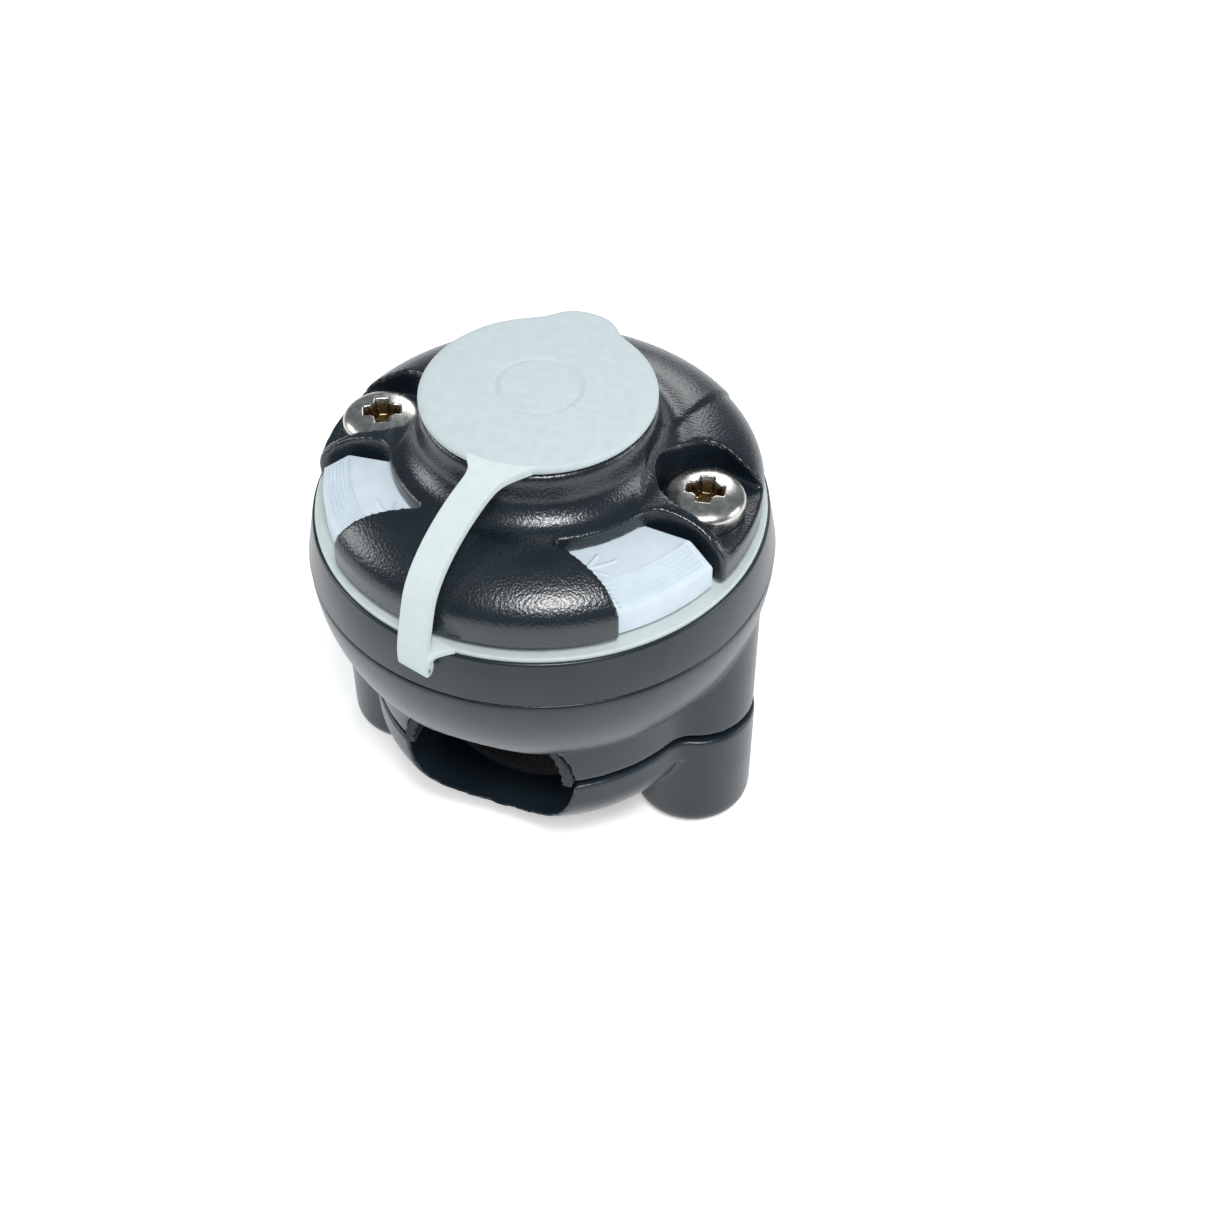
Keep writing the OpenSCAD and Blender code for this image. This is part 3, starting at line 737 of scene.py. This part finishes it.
plug_in = plug_r - 2.1
plug = [(0, cap_z - 0.2), (plug_in, cap_z - 0.2), (plug_in, cap_low.z + 0.3),
        (plug_in + 0.3, cap_low.z), (plug_r - 1, cap_low.z), (plug_r - 0.7, cap_low.z + 0.3),
        (plug_r - 0.2, cap_z - 0.3), (plug_r, cap_z), (cap_r - 0.5, cap_z)]
rim = arc((cap_r - 0.45, cap_z + 0.45), 0.45, -90, 0, 5)[1:]
rim += arc((cap_r - 0.9, cap_z + cap_t - 0.85), 0.9, 0, 70, 8)
rings = [r / 4 for r in range(int((cap_r - 1.3) * 4), 0, -1)] + [0]
cap = spun("cap_moulding", plug + rim + [(r, cap_top(r)) for r in rings])
tab_root = 4
for vertex in cap.data.vertices:
    x, y, z = vertex.co / MM
    radius = hypot(x, y)
    if radius > cap_r - tab_root and z > cap_z - 0.1:
        away = (degrees(atan2(y, x)) - tab_turn) / tab_spread
        reach = tab_reach * exp(-abs(away) ** 3.2) * ((radius - cap_r + tab_root) / tab_root) ** 2
        vertex.co *= (radius + reach) / radius
        vertex.co.z = z * MM
activate(cap)
bpy.ops.object.shade_smooth_by_angle(angle=radians(50))
cap_rubber = rubber("cap_rubber", (0.53, 0.60, 0.61, 1), (0.575, 0.65, 0.66, 1))
cap.data.materials.append(cap_rubber)
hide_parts("cap")
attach(cap, "cap")

# ---------------------------------------------------------------------------------------------
# Tether strap
# A flat rubber strap, one moulding with the cap and the gasket. It leaves the cap through a
# flared neck, bows over the dome, and folds under its own end onto the gasket.
# ---------------------------------------------------------------------------------------------
strap_w = 5.1
strap_t = 1.3
strap_turn = radians(-16)
strap_x = 5.5
joint_r = cap_r - 1

neck = (sqrt(joint_r ** 2 - strap_x ** 2), cap_z + cap_t - 0.75)
bow = (skirt_r + 0.6, dome_foot + 6.9)
low = (base_r + 0.45, gasket_low.z - 1.5)
path = curve(neck, (neck[0] + 6, neck[1] + 0.4), (bow[0] - 2.2, bow[1] + 7.2), bow, 40)
path += curve(bow, near(bow, 1.2, -4.2), near(low, 0.35, 2.4), low, 16)[1:]
path += curve(low, near(low, -0.1, -0.9), near(low, -0.9, -0.7), near(low, -0.75, 0.9), 8)[1:]
path += curve(path[-1], near(low, -0.6, 2.2), (lip_r + 0.6, ring_top + 0.85),
              (gasket_out - 1.1, band_top + 0.3), 8)[1:]
lengths = [0]
for (r0, z0), (r1, z1) in zip(path, path[1:]):
    lengths.append(lengths[-1] + hypot(r1 - r0, z1 - z0))
across_steps = 12
bpy.ops.object.select_all(action="DESELECT")
bpy.ops.mesh.primitive_grid_add(x_subdivisions=across_steps, y_subdivisions=len(path) - 1, size=2)
strap = bpy.context.object
strap.name = "tether"
for vertex in strap.data.vertices:
    i = round((vertex.co.y + 1) / 2 * (len(path) - 1))
    run, left_over = lengths[i], lengths[-1] - lengths[i]
    flare = 2.6 * exp(-(run / 2.4) ** 2)
    flange = 2.6 * max(0.0, 1 - left_over / 4.2) ** 1.5 if vertex.co.x > 0 else 0
    side_x = vertex.co.x * (strap_w / 2 - 0.05 + flare + flange) + strap_x
    follow = (sqrt(joint_r ** 2 - side_x ** 2) - neck[0]) * exp(-(run / 3.5) ** 2)
    vertex.co = (side_x * MM, -(path[i][0] + follow) * MM, path[i][1] * MM)
strap.data.transform(Matrix.Rotation(strap_turn, 4, "Z"))
activate(strap)
bpy.ops.object.mode_set(mode="EDIT")
bpy.ops.mesh.select_all(action="SELECT")
bpy.ops.mesh.normals_make_consistent(inside=False)
bpy.ops.object.mode_set(mode="OBJECT")
wall = strap.modifiers.new("wall", "SOLIDIFY")
wall.thickness = strap_t * MM
wall.offset = 0
bpy.ops.object.modifier_apply(modifier=wall.name)
edges = strap.modifiers.new("edges", "BEVEL")
edges.width = 0.4 * MM
edges.segments = 4
edges.limit_method = "ANGLE"
edges.angle_limit = radians(60)
bpy.ops.object.modifier_apply(modifier=edges.name)
bpy.ops.object.shade_smooth_by_angle(angle=radians(50))
strap.data.materials.append(rubber("strap_rubber", (0.63, 0.71, 0.71, 1), (0.68, 0.75, 0.755, 1)))
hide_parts("tether_strap")
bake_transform(strap)

# ---------------------------------------------------------------------------------------------
# Lock sliders
# Pale plastic slides, one on each side. Fine ribs round the outer edge give the thumb a grip,
# and a raised arrow shows the way to push. A tongue runs on under the dome.
# ---------------------------------------------------------------------------------------------
slider_start, slider_end = 19.5, 66
slider_square = slot_square + 1.35
slider_in = barrel_r + 0.3
slider_foot = dome_foot + 0.4
rib_pitch, rib_rise = 0.57, 0.32
rib_rows = 7
arrow_r, arrow_turn, arrow_rise, arrow_half = 26, 54, 0.2, 0.32
edge_round = 0.45

slider_plastic, shader, place = new_material("pale_slider_plastic")
cloud = place.noise(3, 3).between(0.3, 0.7)
fine = place.noise(0.3, 2, 0.5)
feed(shader, Base_Color=cloud.mix((0.61, 0.70, 0.76, 1), (0.66, 0.74, 0.80, 1)),
     Roughness=0.38 + fine * 0.1, Normal=fine.bump(0.012, 0.3))


def rear_end(radius):
    """Turn at which a slider's rear end lies: square across inside, and radial at the grip."""
    return max(slider_start, degrees(asin(min(1, slider_square / radius))))


def slider_height(radius, turn):
    """Height of a slider's top at a radius and a turn, with its ribs and its arrow."""
    inner = slot_in_r - 0.4
    if radius < inner:
        z = slider_top_in - 2 * (inner - radius) / (inner - slider_in)
    elif radius < slider_mid:
        fall = (slider_top_in - slider_top_mid) / (slider_mid - inner)
        z = slider_top_in - fall * (radius - inner)
    else:
        z = grip_top(radius)
    from_edge = slider_out - 0.4 - radius
    front_end = 54.2 - (radius - 28.6) * 0.87 - 3
    if 0 < from_edge < rib_rows * rib_pitch and rear_end(radius) + 2.2 < turn < front_end:
        z += rib_rise * (0.5 - 0.5 * cos(2 * pi * from_edge / rib_pitch))
    tip = (arrow_turn - turn) * radians(1) * arrow_r
    off = abs(radius - arrow_r)
    shaft = hypot(off, max(0.3 - tip, 0, tip - 4.6))
    barb = hypot((off - tip * 0.75) * 0.8, max(-tip, 0, tip - 2.4))
    return z + arrow_rise * max(0, 1 - (min(shaft, barb) / arrow_half) ** 2)


# A fine grid is bent into the slider's plan, raised to its heights and drawn down to its foot.
# Most of its rows lie under the ribs.
rows, columns = 240, 200
rib_share = 0.55
bpy.ops.object.select_all(action="DESELECT")
bpy.ops.mesh.primitive_grid_add(x_subdivisions=rows, y_subdivisions=columns, size=2)
right_slider = bpy.context.object
right_slider.name = "slider_right_moulding"
for vertex in right_slider.data.vertices:
    across, along = (vertex.co.x + 1) / 2, (vertex.co.y + 1) / 2
    if across < 1 - rib_share:
        radius = slider_in + (slider_mid - slider_in) * across / (1 - rib_share)
    else:
        radius = slider_out - (slider_out - slider_mid) * (1 - across) / rib_share
    turn = rear_end(radius) + (slider_end - rear_end(radius)) * along
    ease = min(max((turn - slot_front_out + 0.3) / 0.6, 0), 1)
    rim = slider_out + (tongue_out - slider_out) * ease
    radius = min(radius, rim)
    z = slider_height(radius, turn)
    edge = min((turn - rear_end(radius)) * radians(1) * radius, rim - radius)
    if edge < edge_round:
        z -= edge_round - sqrt(edge_round ** 2 - (edge_round - edge) ** 2)
    x, y = at(radius, turn)
    vertex.co = (x * MM, y * MM, z * MM)
activate(right_slider)
bpy.ops.object.mode_set(mode="EDIT")
bpy.ops.mesh.select_all(action="SELECT")
bpy.ops.mesh.remove_doubles(threshold=0.001 * MM)
bpy.ops.mesh.select_all(action="SELECT")
bpy.ops.mesh.extrude_region_move(TRANSFORM_OT_translate={"value": (0, 0, -20 * MM)})
bpy.ops.object.mode_set(mode="OBJECT")
for vertex in right_slider.data.vertices:
    if vertex.select:
        vertex.co.z = slider_foot * MM
activate(right_slider)
bpy.ops.object.mode_set(mode="EDIT")
bpy.ops.mesh.select_all(action="SELECT")
bpy.ops.mesh.normals_make_consistent(inside=False)
bpy.ops.object.mode_set(mode="OBJECT")
bpy.ops.object.shade_smooth_by_angle(angle=radians(40))
right_slider.data.materials.append(slider_plastic)
left_slider = mirrored(copied(right_slider, "slider_left_moulding"), -1)
for piece, hand in ((right_slider, "right"), (left_slider, "left")):
    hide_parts("lock_slider_" + hand)
    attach(piece, "slider_" + hand)

# ---------------------------------------------------------------------------------------------
# Bolts
# Stainless pan-head machine bolts with a cross recess. They run through the dome, the base ring
# and the upper clamp into the nuts.
# ---------------------------------------------------------------------------------------------
head_r = 6.15
head_h = 4.2
shank_r = 3.0
shank_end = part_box("bolt_right")[0].z / MM
pitch = 1.0
thread_len = 26
recess_reach, recess_half, recess_depth = 3.4, 1.25, 2.7
recess_taper = 0.55
groove = 0.55
end_taper, end_len = 0.5, 0.8

polished_steel, shader, place = new_material("polished_stainless")
swirl = place.noise(1.2, 4, 0.6)
scratch = place.noise(0.15, 3, 0.7)
head_top = Vector((bolt_x, 0, seat_z + head_h)) * MM
folded = place.node("ShaderNodeVectorMath", {"operation": "ABSOLUTE"}, {0: place})
inside = folded.node("ShaderNodeVectorMath", {"operation": "SUBTRACT"}, {0: folded, 1: head_top})
flat = inside.node("ShaderNodeVectorMath", {"operation": "MULTIPLY"}, {0: inside, 1: (1, 1, 0)})
reach = flat.node("ShaderNodeVectorMath", {"operation": "LENGTH"}, {0: flat}, out=1)
below = inside.node("ShaderNodeSeparateXYZ", None, {0: inside}, out=2)
# Painted shade: deeper than about half a millimetre below the head top, the cross recess turns a dark brown,
# and darker with depth.
recess_painted_shade = (1 - reach.between(3.5 * MM, 4.2 * MM)) * (1 - below.between(-1.1 * MM, -0.45 * MM))
steel = swirl.between(0.35, 0.7).mix((0.50, 0.475, 0.44, 1), (0.68, 0.665, 0.64, 1))
feed(shader, Base_Color=recess_painted_shade.mix(steel, (0.26, 0.19, 0.11, 1)),
     Metallic=1.0, Roughness=0.14 + swirl * 0.18 + scratch * 0.06, Normal=scratch.bump(0.01, 0.3))

# The head is turned, and its cross recess narrows towards the bottom.
crown_side = curve((head_r, head_h - 1.9), (head_r - 0.1, head_h - 0.7), (head_r * 0.66, head_h),
                   (0, head_h), 16)
right_bolt = spun("bolt_right_steel", [(0, 0), (head_r - 0.25, 0)]
                  + arc((head_r - 0.3, 0.3), 0.3, -60, 0, 3) + crown_side, 96)
corner = recess_half + 0.75
cross = []
for quarter in range(4):
    spin = Matrix.Rotation(quarter * pi / 2, 2)
    for x, y in ((recess_reach, -recess_half), (recess_reach, recess_half),
                 (corner, recess_half + 0.1), (recess_half + 0.1, corner)):
        point = spin @ Vector((x, y))
        cross.append((point.x, point.y))
recess = prism("recess", cross, head_h - recess_depth, head_h + 1)
for vertex in recess.data.vertices:
    if vertex.co.z < head_h * MM * 0.9:
        vertex.co.x *= recess_taper
        vertex.co.y *= recess_taper
cut(right_bolt, recess)
bolt_skin, bolt_rounds = 0.11, 3
moulded(right_bolt, bolt_skin, bolt_rounds)

# The shank is turned with a ring of points for each eighth of the pitch, and each ring is drawn
# in where the thread's groove passes it.
rows = int(thread_len / pitch * 8)
shank_foot = shank_end - seat_z
heights = [shank_foot + thread_len * i / rows for i in range(rows + 1)]
shank = spun("shank", [(0, shank_foot)] + [(shank_r, z) for z in heights]
             + [(shank_r, 0.2), (0, 0.2)], 32)
for vertex in shank.data.vertices:
    x, y, z = vertex.co / MM
    if hypot(x, y) > 0.5 and z < heights[-1] - 0.5:
        lead = (z / pitch + atan2(y, x) / (2 * pi)) % 1
        fade = min(1, (z - shank_foot) / end_len)
        radius = shank_r - groove * abs(lead - 0.5) * 2 - end_taper * (1 - fade)
        vertex.co.x *= radius / shank_r
        vertex.co.y *= radius / shank_r
activate(shank)
bpy.ops.object.shade_smooth_by_angle(angle=radians(30))
activate(right_bolt)
shank.select_set(True)
bpy.ops.object.join()
right_bolt.data.materials.append(polished_steel)
left_bolt = copied(right_bolt, "bolt_left_steel")
for piece, hand, side, turn in ((right_bolt, "right", 1, 10), (left_bolt, "left", -1, 25)):
    piece.data.transform(Matrix.Translation((side * bolt_x * MM, 0, seat_z * MM))
                         @ Matrix.Rotation(radians(turn), 4, "Z"))
    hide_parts("bolt_" + hand)
    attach(piece, "bolt_" + hand)

# ---------------------------------------------------------------------------------------------
# Nuts, inserts, plate, screws and springs
# What the closed object hides: lock nuts with blue nylon inserts, the plate that holds the
# sliders in, its screws, and the sliders' return springs.
# ---------------------------------------------------------------------------------------------
dull_steel, shader, place = new_material("dull_stainless")
swirl = place.noise(0.8, 3, 0.6)
feed(shader, Base_Color=swirl.mix((0.48, 0.48, 0.47, 1), (0.62, 0.62, 0.61, 1)), Metallic=1.0,
     Roughness=0.28 + swirl * 0.15, Normal=swirl.bump(0.01, 0.3))
insert_nylon, shader, place = new_material("insert_nylon")
fine = place.noise(0.5, 2)
feed(shader, Base_Color=fine.mix((0.05, 0.13, 0.34, 1), (0.08, 0.19, 0.44, 1)), Roughness=0.42)


def eased(name, node, body, material, width):
    """A copy of a plain CAD node with its sharp edges broken."""
    piece = bpy.data.objects.new(name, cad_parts[node].data.copy())
    bpy.context.collection.objects.link(piece)
    activate(piece)
    bpy.ops.object.mode_set(mode="EDIT")
    bpy.ops.mesh.select_all(action="SELECT")
    bpy.ops.mesh.remove_doubles(threshold=0.001 * MM)
    bpy.ops.mesh.dissolve_limited(angle_limit=radians(1))
    bpy.ops.object.mode_set(mode="OBJECT")
    step = piece.modifiers.new("edges", "BEVEL")
    step.width = width * MM
    step.segments = 2
    step.limit_method = "ANGLE"
    step.angle_limit = radians(35)
    step.use_clamp_overlap = True
    bpy.ops.object.modifier_apply(modifier=step.name)
    bpy.ops.object.shade_smooth_by_angle(angle=radians(30))
    piece.data.materials.clear()
    piece.data.materials.append(material)
    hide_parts(node)
    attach(piece, body)


for hand in ("right", "left"):
    nut, insert = "nut_" + hand, "nut_insert_" + hand
    eased("lock_" + nut, nut, "lower_half", dull_steel, 0.25)
    eased("lock_" + insert, insert, "lower_half", insert_nylon, 0.15)
eased("slider_plate", "retainer_plate", "root", smooth_nylon, 0.2)
eased("slider_plate_screws", "plate_screws", "root", dull_steel, 0.12)

# Each return spring is the CAD coil with its points merged, in the dull steel, and stays with the dome.
spring_r = (slider_in + tongue_out) / 2 + 1.5
spring_stop = 85.9
for hand, side in (("right", 1), ("left", -1)):
    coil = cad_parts["slider_spring_" + hand].data.copy()
    spring = bpy.data.objects.new("return_spring_" + hand, coil)
    bpy.context.collection.objects.link(spring)
    activate(spring)
    bpy.ops.object.mode_set(mode="EDIT")
    bpy.ops.mesh.select_all(action="SELECT")
    bpy.ops.mesh.remove_doubles(threshold=0.001 * MM)
    bpy.ops.object.mode_set(mode="OBJECT")
    bpy.ops.object.shade_smooth_by_angle(angle=radians(60))
    spring.data.materials.clear()
    spring.data.materials.append(dull_steel)
    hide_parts("slider_spring_" + hand)
    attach(spring, "root")
    stop, start = at(spring_r, spring_stop), at(spring_r, slider_end)
    "slider_" + hand + "_travel"
    side * (start[0] - stop[0])
    start[1] - stop[1]
    side * stop[0] * MM
    stop[1] * MM
    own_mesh(spring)
